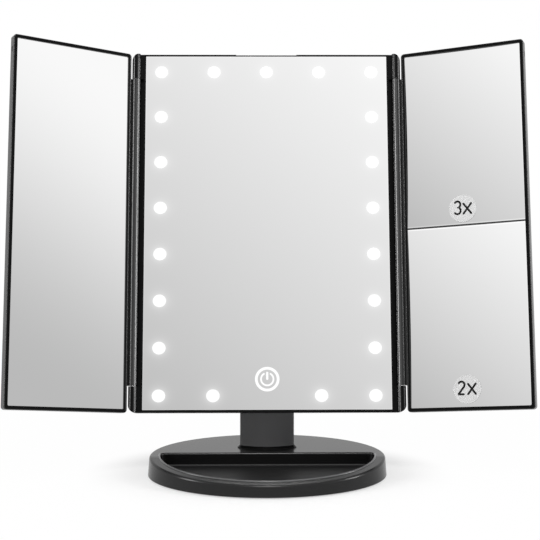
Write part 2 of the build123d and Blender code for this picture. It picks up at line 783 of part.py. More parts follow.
def make_contact_plates():
    """Bent metal plates at both ends of the box: two joined pairs above, one pair and two singles below."""
    plates = []
    half = cell_radius - cell_play
    top = battery_low + box_length - plate_thickness
    for z, groups in ((battery_low, ((0,), (1, 2), (3,))), (top, ((0, 1), (2, 3)))):
        for group in groups:
            xs = [cell_places()[i][0] for i in group]
            plates.append(block((min(xs) - half, max(xs) + half), (cell_y - half, cell_y + half),
                                (z, z + plate_thickness)))
    return Part() + plates


def make_battery_door():
    half = box_half + door_lip - door_gap
    low, high = battery_low - door_lip + door_gap, battery_low + box_length + door_lip - door_gap
    door = block((-half, half), (door_front, head_depth), (low, high))
    return chamfer(door.faces().sort_by(Axis.Y)[-1].edges(), door_edge)


# ---- wings, each from its hinge axis ----------------------------------------------------------------
def wing_field(margin):
    """Front view of the wing's outline, moved in by margin."""
    low, high = wing_inner + margin, wing_outer - margin
    corner = max(wing_corner - margin, wing_edge_round)
    outline = RectangleRounded(high - low, head_height - 2 * margin, corner)
    return Pos((low + high) / 2, head_height / 2) * outline


def make_wing_frame():
    body = front_prism(wing_field(0), (wing_front, wing_back))
    body = fillet(body.faces().sort_by(Axis.Y)[0].edges(), wing_edge_round)
    body = fillet(body.faces().sort_by(Axis.Y)[-1].edges(), wing_edge_round)
    body -= front_prism(wing_field(wing_rim), (wing_front, mirror_front))
    body -= front_prism(wing_field(wing_wall), (mirror_front, wing_back))
    slot_y = (wing_front + wing_back - pry_slot_width) / 2
    slot_top = head_height - pry_slot_from_top
    body -= block((wing_outer - pry_slot_depth, wing_outer), (slot_y, slot_y + pry_slot_width),
                  (slot_top - pry_slot_length, slot_top))
    span = (barrel_low, head_height - barrel_low)
    body += block((knuckle_radius / 2, wing_inner + wing_wall / 2), barrel_web, span)
    body += rod_z(knuckle_radius, 0, 0, span)
    for end, inward in ((span[0], 1), (span[1], -1)):
        ends = sorted((end, end + inward * (pin_in_barrel + pin_running)))
        body -= rod_z(pin_radius + pin_running, 0, 0, ends)
    return body


def make_wing_cover():
    cover = front_prism(wing_field(wing_wall + wing_fit), (cover_front, cover_back))
    return chamfer(cover.faces().sort_by(Axis.Y)[-1].edges(), wing_cover_inset)


def make_plain_mirror():
    return front_prism(wing_field(wing_wall + wing_fit), (mirror_front, mirror_front + plain_thickness))


def make_plain_pad():
    return front_prism(wing_field(wing_rim + wing_wall), (mirror_front + plain_thickness, cover_front))


def concave_fields():
    """The z ranges of the lower and the upper concave mirror."""
    edge = wing_wall + wing_fit
    half = divider_width / 2 + divider_gap
    return (edge, divider_z - half), (divider_z + half, head_height - edge)


def ball_middle(radius, z):
    """Middle of the ball whose surface is the concave face: it touches the corners of the mirror's front."""
    half_x = (wing_outer - wing_inner) / 2 - wing_wall - wing_fit
    half_z = (z[1] - z[0]) / 2
    return Pos(wing_middle, mirror_front - math.sqrt(radius**2 - half_x**2 - half_z**2), (z[0] + z[1]) / 2)


def make_concave_mirror(radius, z):
    edge = wing_wall + wing_fit
    plate = block((wing_inner + edge, wing_outer - edge), (mirror_front, mirror_front + concave_thickness), z)
    return plate - ball_middle(radius, z) * Sphere(radius)


def make_label(radius, z, disc_z):
    """A thin round film that follows the concave face, its middle at disc_z."""
    outer = radius - label_bond
    film = Sphere(outer) - Sphere(outer - label_thickness)
    deep = (wing_front, mirror_front + concave_thickness)
    disc = rod_y(label_radius, wing_middle - label_inward, deep, disc_z)
    return disc & (ball_middle(radius, z) * film)


def make_divider():
    edge = wing_wall + wing_fit
    z = (divider_z - divider_width / 2, divider_z + divider_width / 2)
    web = block((wing_inner + edge, wing_outer - edge), (mirror_front, mirror_front + concave_thickness), z)
    nose_y = (wing_front + divider_recess, mirror_front)
    return web + block((wing_inner + wing_rim, wing_outer - wing_rim), nose_y, z)


def make_concave_pads():
    inset = wing_rim + wing_wall
    wide = (wing_inner + inset, wing_outer - inset)
    deep = (mirror_front + concave_thickness, cover_front)
    return Part() + [block(wide, deep, (low + inset, high - inset)) for low, high in concave_fields()]


def make_hinge_pins():
    """The two steel pins of one hinge, in the upright head's right-hand side."""
    low_pin = (knuckle_length - pin_in_knuckle, barrel_low + pin_in_barrel)
    pins = [rod_z(pin_radius, hinge_x, -hinge_forward, low_pin),
            rod_z(pin_radius, hinge_x, -hinge_forward, (head_height - low_pin[1], head_height - low_pin[0]))]
    return Part() + pins


# ---- the parts --------------------------------------------------------------------------------------
lower_field, upper_field = concave_fields()
right_pins = make_hinge_pins()
parts = {
    "foot_shell": make_foot_shell(),
    "foot_cover": make_foot_cover(),
    "foot_pads": make_foot_pads(),
    "foot_weight": make_foot_weight(),
    "cover_screws": make_cover_screws(),
    "neck": make_neck(),
    "neck_collar": make_neck_collar(),
    "neck_screws": make_neck_screws(),
    "tilt_bolt": in_head(make_tilt_bolt()),
    "tilt_nut": in_head(make_tilt_nut()),
    "tilt_washers": in_head(make_tilt_washers()),
    "head_frame": in_head(make_head_frame()),
    "centre_glass": in_head(make_centre_glass()),
    "light_spreader": in_head(make_light_spreader()),
    "light_board": in_head(make_light_board()),
    "light_chips": in_head(make_light_chips()),
    "touch_pad": in_head(make_touch_pad()),
    "rear_housing": in_head(make_rear_housing()),
    "housing_screws": in_head(make_housing_screws()),
    "control_board": in_head(make_control_board()),
    "control_chip": in_head(make_control_chip()),
    "board_screws": in_head(make_board_screws()),
    "charging_socket": in_head(make_charging_socket()),
    "switch_body": in_head(make_switch_body()),
    "switch_knob": in_head(make_switch_knob()),
    "battery_cells": in_head(make_battery_cells()),
    "battery_springs": in_head(make_battery_springs()),
    "contact_plates": in_head(make_contact_plates()),
    "battery_door": in_head(make_battery_door()),
    "right_hinge_pins": in_head(right_pins),
    "left_hinge_pins": in_head(mirror(right_pins, about=Plane.YZ)),
    "left_wing_frame": in_wing(-1, make_wing_frame()),
    "left_wing_cover": in_wing(-1, make_wing_cover()),
    "left_mirror": in_wing(-1, make_plain_mirror()),
    "left_mirror_pad": in_wing(-1, make_plain_pad()),
    "right_wing_frame": in_wing(1, make_wing_frame()),
    "right_wing_cover": in_wing(1, make_wing_cover()),
    "upper_right_mirror": in_wing(1, make_concave_mirror(strong_radius, upper_field)),
    "lower_right_mirror": in_wing(1, make_concave_mirror(mild_radius, lower_field)),
    "mirror_divider": in_wing(1, make_divider()),
    "right_mirror_pads": in_wing(1, make_concave_pads()),
    "upper_label": in_wing(1, make_label(strong_radius, upper_field, divider_z + upper_label_rise)),
    "lower_label": in_wing(1, make_label(mild_radius, lower_field, lower_label_z)),
}

os.makedirs("parts", exist_ok=True)
for name, shape in parts.items():
    export_step(shape, f"parts/{name}.step")
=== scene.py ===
# %% [markdown]
# # A trifold vanity mirror, dressed
# The solids of this mirror come from its CAD model: a weighted foot with a tray, a neck, a tilting centre
# head with a ring of lamps, and two wings that fold over it. This lesson loads them as a fixed frame and
# then gives every surface its finish: black moulded plastic, silvered glass, etched lamp windows, steel,
# rubber, circuit boards. Only two things are added as new meshes, both too fine to be worth a solid of
# their own: the printed marks on two labels, and a bead round the front edge of the tray.

import math

import bpy
import numpy as np
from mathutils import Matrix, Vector


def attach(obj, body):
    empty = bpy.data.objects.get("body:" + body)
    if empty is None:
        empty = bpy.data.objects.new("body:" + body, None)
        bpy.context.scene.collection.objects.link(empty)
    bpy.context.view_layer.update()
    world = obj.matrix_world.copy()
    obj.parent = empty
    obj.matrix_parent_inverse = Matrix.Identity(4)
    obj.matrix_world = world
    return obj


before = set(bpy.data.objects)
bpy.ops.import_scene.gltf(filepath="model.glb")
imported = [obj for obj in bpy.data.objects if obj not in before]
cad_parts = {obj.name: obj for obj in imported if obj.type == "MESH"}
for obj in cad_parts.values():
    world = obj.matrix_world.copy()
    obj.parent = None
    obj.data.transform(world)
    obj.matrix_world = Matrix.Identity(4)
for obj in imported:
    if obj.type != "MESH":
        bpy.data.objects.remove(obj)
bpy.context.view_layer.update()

# %% [markdown]
# ## The eye
# A product picture of this size is taken from a metre away with a long lens, so that the upright edges
# stay nearly parallel. The lens stands a little above the middle of the glass and looks slightly down on
# the foot. Its length follows from its focal distance in pixels and the width of the picture.

# %% Camera
PICTURE, SENSOR, FOCAL_PIXELS = 540, 36.0, 1343.74
EYE_PLACE = (-0.008384, -0.860474, 0.231304)
LOOK_DOWN, LOOK_ROUND = 6.41, -0.675

eye = bpy.data.cameras.new("eye")
eye.sensor_width = SENSOR
eye.lens = SENSOR * FOCAL_PIXELS / PICTURE
eye.clip_start = 0.01
camera = bpy.data.objects.new("eye", eye)
camera.location = EYE_PLACE
camera.rotation_euler = (math.radians(90 - LOOK_DOWN), 0, math.radians(LOOK_ROUND))
bpy.context.scene.collection.objects.link(camera)
bpy.context.scene.camera = camera
bpy.context.scene.view_settings.view_transform = "Standard"
print("lens", round(eye.lens, 2), "mm at", tuple(camera.location))

# %% [markdown]
# ## Writing materials as short sentences
# A node tree is easier to read when one call adds a node, sets it and wires it. `put` does that. `calc`
# is the same for arithmetic and hands back the result's socket. A few more words are built from those
# two: a smooth step, the long side of a right triangle, the distance over an oval, and a blend of two
# tones.


# %% Node helpers
def put(tree, kind, inputs=None, **settings):
    """Adds a node, applies its settings, and fills its inputs with plain values or other nodes' sockets."""
    made = tree.nodes.new(kind)
    for name, value in settings.items():
        setattr(made, name, value)
    for key, value in (inputs or {}).items():
        if isinstance(value, bpy.types.NodeSocket):
            tree.links.new(value, made.inputs[key])
        else:
            made.inputs[key].default_value = value
    return made


def calc(tree, operation, *terms, clamp=False):
    """One Math node on up to three numbers or sockets, and its result."""
    node = put(tree, "ShaderNodeMath", dict(enumerate(terms)), operation=operation, use_clamp=clamp)
    return node.outputs[0]


def step(tree, value, low, high):
    """0 below low, 1 above high, and a smooth rise between them, so that a painted edge isn't jagged."""
    inputs = {"Value": value, "From Min": low, "From Max": high}
    return put(tree, "ShaderNodeMapRange", inputs, interpolation_type="SMOOTHSTEP").outputs[0]


def long_side(tree, a, b):
    """The root of a squared plus b squared."""
    return calc(tree, "SQRT", calc(tree, "MULTIPLY_ADD", a, a, calc(tree, "MULTIPLY", b, b)))


def dot(tree, a, b):
    """The sum of the products of two vectors' parts."""
    return put(tree, "ShaderNodeVectorMath", {0: a, 1: b}, operation="DOT_PRODUCT").outputs["Value"]


def oval_reach(tree, point, half):
    """How far out a point is from the middle of an oval, with 1 on the oval: the length of the vector of
    x over one half axis and y over the other."""
    shares = (1 / half[0], 1 / half[1], 0)
    shape = put(tree, "ShaderNodeVectorMath", {0: point, 1: shares}, operation="MULTIPLY").outputs[0]
    return put(tree, "ShaderNodeVectorMath", {0: shape}, operation="LENGTH").outputs["Value"]


def mixed(tree, share, first, second):
    """The first colour where the share is 0, the second where it is 1, and an even blend between them."""
    inputs = {0: share, 6: (*first, 1), 7: (*second, 1)}
    return put(tree, "ShaderNodeMix", inputs, data_type="RGBA").outputs[2]


def seen_directly(tree):
    """1 on the rays of the lens, of reflections and through glass, 0 on those that gather soft light."""
    rays = put(tree, "ShaderNodeLightPath").outputs
    shown = calc(tree, "MAXIMUM", rays["Is Camera Ray"], rays["Is Glossy Ray"])
    return calc(tree, "MAXIMUM", shown, rays["Is Transmission Ray"])


print("helpers: put, calc, step, long_side, dot, oval_reach, mixed, seen_directly")

# %% [markdown]
# An effect that several finishes share is a node group, built once. Every group of this lesson takes a
# point and some numbers and hands back numbers, so `new_group` needs only their names, and `use` places
# one in a material.


# %% Group helpers
def new_group(name, defaults, outputs):
    """An empty group with an input Point, a number input for each default, and number outputs."""
    group = bpy.data.node_groups.new(name, "ShaderNodeTree")
    group.interface.new_socket("Point", in_out="INPUT", socket_type="NodeSocketVector")
    for label, value in defaults.items():
        socket = group.interface.new_socket(label, in_out="INPUT", socket_type="NodeSocketFloat")
        socket.default_value = value
    for label in outputs:
        group.interface.new_socket(label, in_out="OUTPUT", socket_type="NodeSocketFloat")
    return group, put(group, "NodeGroupInput").outputs, put(group, "NodeGroupOutput").inputs


def use(tree, group, inputs):
    """Places a group in a tree and returns its outputs."""
    return put(tree, "ShaderNodeGroup", inputs, node_tree=group).outputs


print("helpers: new_group, use")

# %% [markdown]
# ## Where things are painted
# A finish is painted by the place of a point on the piece, read from Object coordinates in metres. Most
# patterns of this mirror belong to the head's sloping face, so one group turns a point into millimetres
# across that face and millimetres up it from its lower front edge, with the head leaning back by its rest
# angle.

# %% The head's slope
MM, PER_METRE = 0.001, 1000
LEAN = math.radians(15.6)
FACE_FOOT_Y, FACE_FOOT_Z = -0.844, 41.136


def head_plane_group():
    """Across is x. Up is the dot product of the point with the leaning upright, less the lower edge's."""
    group, given, out = new_group("head plane", {}, ("Across", "Up"))
    across = dot(group, given["Point"], (PER_METRE, 0, 0))
    upright = (0, PER_METRE * math.sin(LEAN), PER_METRE * math.cos(LEAN))
    start = FACE_FOOT_Y * math.sin(LEAN) + FACE_FOOT_Z * math.cos(LEAN)
    up = calc(group, "SUBTRACT", dot(group, given["Point"], upright), start)
    group.links.new(across, out["Across"])
    group.links.new(up, out["Up"])
    return group


HEAD_PLANE = head_plane_group()
print("group", HEAD_PLANE.name)

# %% [markdown]
# ## Moulded plastic
# Polished black mouldings are never quite flat: the melt leaves a faint orange peel, and the sheen
# changes a little from place to place. Satin mouldings copy the etched grain of their mould. Both are one
# group with different values: two layers of noise, one for the height of the grain and one for the drift
# of the sheen.

# %% Grain group
DRIFT_GRAINS = 40


def grain_group():
    """Height is noise at the grain's size. Sheen is the roughness plus the spread times two noises, each
    less a half: the same one, and a slow one whose size is forty grains."""
    defaults = {"Grain mm": 0.5, "Roughness": 0.3, "Spread": 0.05}
    group, given, out = new_group("moulded grain", defaults, ("Height", "Sheen"))
    scale = calc(group, "DIVIDE", PER_METRE, given["Grain mm"])
    fine = {"Vector": given["Point"], "Scale": scale, "Detail": 3, "Roughness": 0.55}
    fine = put(group, "ShaderNodeTexNoise", fine).outputs[0]
    slow = {"Vector": given["Point"], "Scale": calc(group, "DIVIDE", scale, DRIFT_GRAINS), "Detail": 2}
    slow = put(group, "ShaderNodeTexNoise", slow).outputs[0]
    drift = calc(group, "MULTIPLY", calc(group, "SUBTRACT", slow, 0.5), given["Spread"])
    speck = calc(group, "MULTIPLY", calc(group, "SUBTRACT", fine, 0.5), given["Spread"])
    sheen = calc(group, "ADD", given["Roughness"], calc(group, "ADD", drift, speck), clamp=True)
    group.links.new(fine, out["Height"])
    group.links.new(sheen, out["Sheen"])
    return group


GRAIN = grain_group()
print("group", GRAIN.name)


# %% Starting and ending a material
def new_finish(name, **sockets):
    """A material with one Principled shader. A value that is the same all over goes on its own socket."""
    material = bpy.data.materials.new(name)
    material.use_nodes = True
    tree = material.node_tree
    shader = tree.nodes["Principled BSDF"]
    for key, value in sockets.items():
        shader.inputs[key].default_value = value
    point = put(tree, "ShaderNodeTexCoord").outputs["Object"]
    return material, tree, shader, point


def coat(tree, shader, colour, sheen, height, depth):
    """Wires the colour, the roughness, and a relief: a height in 0 to 1 with its full depth in metres."""
    bump = put(tree, "ShaderNodeBump", {"Height": height, "Distance": depth, "Strength": 1.0})
    tree.links.new(colour, shader.inputs["Base Color"])
    tree.links.new(sheen, shader.inputs["Roughness"])
    tree.links.new(bump.outputs[0], shader.inputs["Normal"])


def dress(material, *names):
    """Puts the material into every slot of the named solids."""
    for name in names:
        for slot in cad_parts[name].material_slots:
            slot.material = material
    print(material.name, "on", ", ".join(names))


# %% [markdown]
# Black plastic is almost all reflection: its own colour is under one percent, and what one sees is the
# room, faint when looked at straight on and strong at a glancing angle. The index of refraction sets how
# bright the room shows in a flat face, and the roughness how sharp the lamps show at an edge. Two places
# need more than that. The tray's floor is etched matt, so that it doesn't mirror the neck. And a studio
# has a dark side, which the frames' flat fronts face, and a bright one, which the crowned bars beside the
# hinges face. A plain white room has neither, so the frames' own level of reflection carries it.

# %% Tray floor
TRAY_HALF = (0.0698, 0.0502)
TRAY_BEND, TRAY_RIM = (0.0048, 0.0056), (0.99, 1.01)
TRAY_MATT = 0.3


def tray_floor_mask(tree, point):
    """1 on the floor of the foot's tray: lower than the bend up to its walls, and inside its oval."""
    height = put(tree, "ShaderNodeSeparateXYZ", {0: point}).outputs["Z"]
    low = calc(tree, "SUBTRACT", 1, step(tree, height, *TRAY_BEND))
    inside = calc(tree, "SUBTRACT", 1, step(tree, oval_reach(tree, point, TRAY_HALF), *TRAY_RIM))
    return calc(tree, "MULTIPLY", low, inside)


print("tray oval of", *(round(2 * half * PER_METRE, 1) for half in TRAY_HALF), "mm")

# %% Frame fronts
LEFT_SWING, RIGHT_SWING = math.radians(30.4), math.radians(23.3)
PLAIN_LEVEL, FRONT_LEVEL, BAR_LEVEL = 0.5, 0.06, 1.0
FRONT_COSINE, HINGE_BAR = (0.9, 0.985), (91.8, 92.4)


def frame_level(tree, point, swing):
    """The plain level, and on faces whose normal has a cosine near 1 with the pane's normal the front's.
    On a swung frame the hinge bar, which is nearer the middle across than its limit, has its own."""
    out = (math.sin(swing), -math.cos(swing) * math.cos(LEAN), math.cos(swing) * math.sin(LEAN))
    normal = put(tree, "ShaderNodeTexCoord").outputs["Normal"]
    front = step(tree, dot(tree, normal, out), *FRONT_COSINE)
    across = calc(tree, "ABSOLUTE", use(tree, HEAD_PLANE, {"Point": point})["Across"])
    past_bar = step(tree, across, *HINGE_BAR) if swing else 1
    face = calc(tree, "MULTIPLY_ADD", past_bar, FRONT_LEVEL - BAR_LEVEL, BAR_LEVEL)
    return calc(tree, "MULTIPLY_ADD", front, calc(tree, "SUBTRACT", face, PLAIN_LEVEL), PLAIN_LEVEL)


print("wings swung by", *(round(math.degrees(swing), 1) for swing in (LEFT_SWING, RIGHT_SWING)), "degrees")


# %% Black plastic
CLOUDS_PER_METRE = 22
DARK_SHARE, LIGHT_SHARE, BLUE_SHARE = 0.85, 1.15, 1.2


def black_plastic(name, tone, grain, depth, roughness, spread, ior=1.42, tray=False, swing=None):
    """Black moulding: base tone, grain size in mm, grain depth in metres, roughness and its spread. A
    tray's floor is rougher, and a frame, which is told by its swing, has its own level of reflection."""
    material, tree, shader, point = new_finish(name, IOR=ior)
    if swing is not None:
        tree.links.new(frame_level(tree, point, swing), shader.inputs["Specular IOR Level"])
    if tray:
        roughness = calc(tree, "MULTIPLY_ADD", tray_floor_mask(tree, point), TRAY_MATT, roughness)
    skin = {"Point": point, "Grain mm": grain, "Roughness": roughness, "Spread": spread}
    skin = use(tree, GRAIN, skin)
    clouds = {"Vector": point, "Scale": CLOUDS_PER_METRE, "Detail": 2}
    clouds = put(tree, "ShaderNodeTexNoise", clouds).outputs[0]
    light = (tone * LIGHT_SHARE, tone * LIGHT_SHARE, tone * BLUE_SHARE)
    colour = mixed(tree, clouds, [tone * DARK_SHARE] * 3, light)
    coat(tree, shader, colour, skin["Sheen"], skin["Height"], depth)
    return material


GLOSS = (0.6, 1.5e-6)
FRAME_GLOSS = (0.003, 2.5, 3e-7, 0.23, 0.02)
BACKS = ("rear_housing", "left_wing_cover", "right_wing_cover", "battery_door")
dress(black_plastic("polished foot", 0.004, *GLOSS, 0.22, 0.04, 1.37, tray=True), "foot_shell")
dress(black_plastic("polished collar", 0.004, *GLOSS, 0.22, 0.05, 1.3), "neck_collar")
dress(black_plastic("satin neck", 0.095, *GLOSS, 0.36, 0.05, 1.4), "neck")
dress(black_plastic("polished head frame", *FRAME_GLOSS, 1.5, swing=0), "head_frame")
dress(black_plastic("polished left frame", *FRAME_GLOSS, 1.48, swing=LEFT_SWING), "left_wing_frame")
dress(black_plastic("polished right frame", *FRAME_GLOSS, 1.48, swing=-RIGHT_SWING), "right_wing_frame")
dress(black_plastic("satin backs", 0.014, 0.35, 9e-6, 0.46, 0.1), *BACKS)
dress(black_plastic("satin underside", 0.016, 0.45, 1e-5, 0.5, 0.1), "foot_cover")
KNOB = black_plastic("knob and socket", 0.02, 0.3, 6e-6, 0.36, 0.08)
dress(KNOB, "switch_knob", "switch_body", "charging_socket")
dress(black_plastic("divider bar", 0.01, 0.5, 2e-6, 0.3, 0.05), "mirror_divider")

# %% [markdown]
# ## Silvered glass
# A mirror shows only what is in front of it. In a white room that is a soft slanting fall of light over
# each pane, darker at the lower left and lighter at the upper right. One plain white surround can't give
# each pane its own fall, so it is painted reflection in the silver: a slope in tone across the pane,
# worked out in the head's plane. Along the border of each pane a fine pale line is a painted highlight,
# standing for the ground edge of the glass catching the light.

# %% Border group
# the border line is a painted highlight: the silver's tone is lifted there, standing for the glass's ground
# edge catching the light
EDGE_LINE, EDGE_BLUR, PAINTED_EDGE_HIGHLIGHT = 0.85, 0.1, 0.24


def pane_border_group():
    """Edge is 1 on a narrow line along the border of a pane and 0 inside it. Inside is the larger of the
    two distances from the pane's middle, each less its half size: 0 on the border, negative within."""
    defaults = {"Middle across": 0.0, "Half across": 82.0, "Middle up": 121.6, "Half up": 120.1}
    group, given, out = new_group("pane border", defaults, ("Edge",))
    place = use(group, HEAD_PLANE, {"Point": given["Point"]})
    beyond = []
    for axis in ("across", "up"):
        offset = calc(group, "SUBTRACT", place[axis.capitalize()], given["Middle " + axis])
        beyond.append(calc(group, "SUBTRACT", calc(group, "ABSOLUTE", offset), given["Half " + axis]))
    inside = calc(group, "MAXIMUM", *beyond)
    group.links.new(step(group, inside, -EDGE_LINE - EDGE_BLUR, -EDGE_LINE + EDGE_BLUR), out["Edge"])
    return group


PANE_BORDER = pane_border_group()
print("group", PANE_BORDER.name)

# %% Painted reflection group
# defaults of the painted fall of reflected light, a slant of tone across a pane
SLANT = {"Start": 0.2, "Per across": 0.002, "Per up": 0.003, "Softness": 0.0, "Low": 0.5, "High": 0.95}


def painted_fall_group():
    """Tone, a painted fall of reflected light, runs from Low to High along a slant. Along is Start plus Per
    across times x plus Per up times height. Softness bends the run into an S, which is along squared times
    three minus twice along. Where Edge is 1 the tone is lifted by a painted highlight."""
    group, given, out = new_group("painted reflection fall", SLANT | {"Edge": 0.0}, ("Tone",))
    place = use(group, HEAD_PLANE, {"Point": given["Point"]})
    along = calc(group, "MULTIPLY_ADD", place["Across"], given["Per across"], given["Start"])
    along = calc(group, "MULTIPLY_ADD", place["Up"], given["Per up"], along, clamp=True)
    squared = calc(group, "MULTIPLY", along, along)
    bent = calc(group, "MULTIPLY", squared, calc(group, "MULTIPLY_ADD", along, -2, 3))
    share = calc(group, "MULTIPLY", calc(group, "SUBTRACT", bent, along), given["Softness"])
    span = calc(group, "SUBTRACT", given["High"], given["Low"])
    tone = calc(group, "MULTIPLY_ADD", calc(group, "ADD", along, share), span, given["Low"])
    # painted highlight: the tone is lifted along the pane's border
    lift = calc(group, "MULTIPLY_ADD", given["Edge"], PAINTED_EDGE_HIGHLIGHT, 1)
    group.links.new(calc(group, "MULTIPLY", tone, lift, clamp=True), out["Tone"])
    return group


PAINTED_FALL = painted_fall_group()
print("group", PAINTED_FALL.name)

# %% Pane places
HINGE_ACROSS, MIRROR_DEPTH = 88.0, 1.2
WING_MIDDLE, PANE_HALF = 45.125, 40.125
WING_HEIGHTS, UPPER_HEIGHTS, LOWER_HEIGHTS = (1.75, 240.75), (121.8, 240.75), (1.75, 120.7)
CENTRE_HEIGHTS, CENTRE_HALF = (1.5, 241.7), 82.0


def border(low, high, middle, half):
    """Sizes for the border group from a pane's lower and upper edge, middle and half width, all in mm."""
    sizes = {"Middle across": middle, "Half across": half}
    return sizes | {"Middle up": (low + high) / 2, "Half up": (high - low) / 2}


def wing_border(side, swing, heights):
    """The same for a pane on a swung wing, whose width the head sees shrunk by the cosine of the swing."""
    middle = HINGE_ACROSS + WING_MIDDLE * math.cos(swing) + MIRROR_DEPTH * math.sin(swing)
    return border(*heights, side * middle, PANE_HALF * math.cos(swing))


print("centre pane", 2 * CENTRE_HALF, "mm wide, wing panes", 2 * PANE_HALF, "mm")


# %% Wing panes
def silvered(name, edge, slant):
    """Silvered glass whose tone carries a painted slant of reflected light, and a barely rough surface
    where a cloth has wiped it.
    """
    material, tree, shader, point = new_finish(name, Metallic=1.0)
    line = use(tree, PANE_BORDER, {"Point": point} | edge)["Edge"]
    tone = use(tree, PAINTED_FALL, {"Point": point, "Edge": line} | dict(zip(SLANT, slant)))["Tone"]
    wiped = use(tree, GRAIN, {"Point": point, "Grain mm": 3.0, "Roughness": 0.02, "Spread": 0.02})
    tree.links.new(tone, shader.inputs["Base Color"])
    tree.links.new(wiped["Sheen"], shader.inputs["Roughness"])
    return material, tree, shader, point, tone


# each pane's slant of painted reflection, in the order of SLANT
LEFT = (0.3307, 0.002575, 0.004167, 1.0, 0.49, 0.947)
UPPER_RIGHT = (-0.0076, 0.0022985, 0.00235, 0.0, 0.0, 1.0)
LOWER_RIGHT = (0.2886, 0.002144, 0.002387, 0.0, 0.0, 1.0)
for name, node, side, swing, heights, slant in (
    ("left silver", "left_mirror", -1, LEFT_SWING, WING_HEIGHTS, LEFT),
    ("upper right silver", "upper_right_mirror", 1, RIGHT_SWING, UPPER_HEIGHTS, UPPER_RIGHT),
    ("lower right silver", "lower_right_mirror", 1, RIGHT_SWING, LOWER_HEIGHTS, LOWER_RIGHT),
):
    dress(silvered(name, wing_border(side, swing, heights), slant)[0], node)

# %% [markdown]
# ## Lamp windows in the silver
# Behind the centre glass sit twenty-one lamps, and the silver is etched away in a round window in front
# of each. They stand on a grid, so the distance to the nearest window needs no list of places: the plane
# is folded back onto one cell of the grid, and a mask keeps the cells along the rim and drops those in
# the middle.

# %% Lamp group
LAMP_PITCH, LAMP_ROW, LAMP_FIRST = 35.5, 31.3, 11.1
SIDE_COLUMNS, TOP_ROW, LOW_ROW, LOW_GAP = 1.5, 6.5, 0.5, 0.5
WINDOW_RADIUS, WINDOW_SQUASH, WINDOW_BLUR = 4.45, 1.05, 0.25
# the glow is a painted halo of light that spreads from each window onto the silver
GLOW_SHARE, GLOW_REACH = 0.3, 2.4


def folded(tree, value, pitch):
    """How far a value is from the nearest multiple of the pitch, with its sign."""
    nearest = calc(tree, "ROUND", calc(tree, "DIVIDE", value, pitch))
    return calc(tree, "SUBTRACT", value, calc(tree, "MULTIPLY", nearest, pitch))


def lamp_group():
    """Window is 1 inside a circle round each lamp on the rim of the grid. Glow, a painted halo of light on
    the silver round each window, is its share times e to the minus distance from the window's edge over its
    reach, and never over 1."""
    group, given, out = new_group("lamp windows", {}, ("Window", "Glow"))
    place = use(group, HEAD_PLANE, {"Point": given["Point"]})
    width = calc(group, "ABSOLUTE", place["Across"])
    height = calc(group, "SUBTRACT", place["Up"], LAMP_FIRST)
    side = folded(group, place["Across"], LAMP_PITCH)
    rise = calc(group, "MULTIPLY", folded(group, height, LAMP_ROW), WINDOW_SQUASH)
    distance = long_side(group, side, rise)
    on_sides = calc(group, "GREATER_THAN", width, SIDE_COLUMNS * LAMP_PITCH)
    on_top = calc(group, "GREATER_THAN", height, TOP_ROW * LAMP_ROW)
    in_low_row = calc(group, "LESS_THAN", height, LOW_ROW * LAMP_ROW)
    below = calc(group, "MULTIPLY", in_low_row, calc(group, "GREATER_THAN", width, LOW_GAP * LAMP_PITCH))
    lit = calc(group, "MAXIMUM", on_sides, calc(group, "MAXIMUM", on_top, below))
    outside = step(group, distance, WINDOW_RADIUS - WINDOW_BLUR, WINDOW_RADIUS + WINDOW_BLUR)
    window = calc(group, "MULTIPLY", calc(group, "SUBTRACT", 1, outside), lit)
    beyond = calc(group, "SUBTRACT", distance, WINDOW_RADIUS)
    fade = calc(group, "EXPONENT", calc(group, "DIVIDE", beyond, -GLOW_REACH))
    glow = calc(group, "MINIMUM", calc(group, "MULTIPLY", fade, GLOW_SHARE), 1)
    group.links.new(window, out["Window"])
    group.links.new(calc(group, "MULTIPLY", glow, lit), out["Glow"])
    return group


LAMPS = lamp_group()
print("group", LAMPS.name, "with a window of", WINDOW_RADIUS, "mm radius")

# %% [markdown]
# The touch button is drawn the same way, as distances: a broad ring, and in it the usual power mark, an
# arc that is open at the top with a short stem standing in the gap. A stem with round ends is made of the
# distances to a segment.

# %% Touch mark group
TOUCH_UP, MARK_BLUR = 21.9, 0.12
RING_RADIUS, RING_HALF = 7.13, 0.9
ARC_RADIUS, ARC_OPENING, ARC_HALF = 4.07, math.radians(32), 0.57
STEM_LOW, STEM_HIGH, STEM_HALF = 0.2, 4.1, 0.72
FAR_AWAY = 100


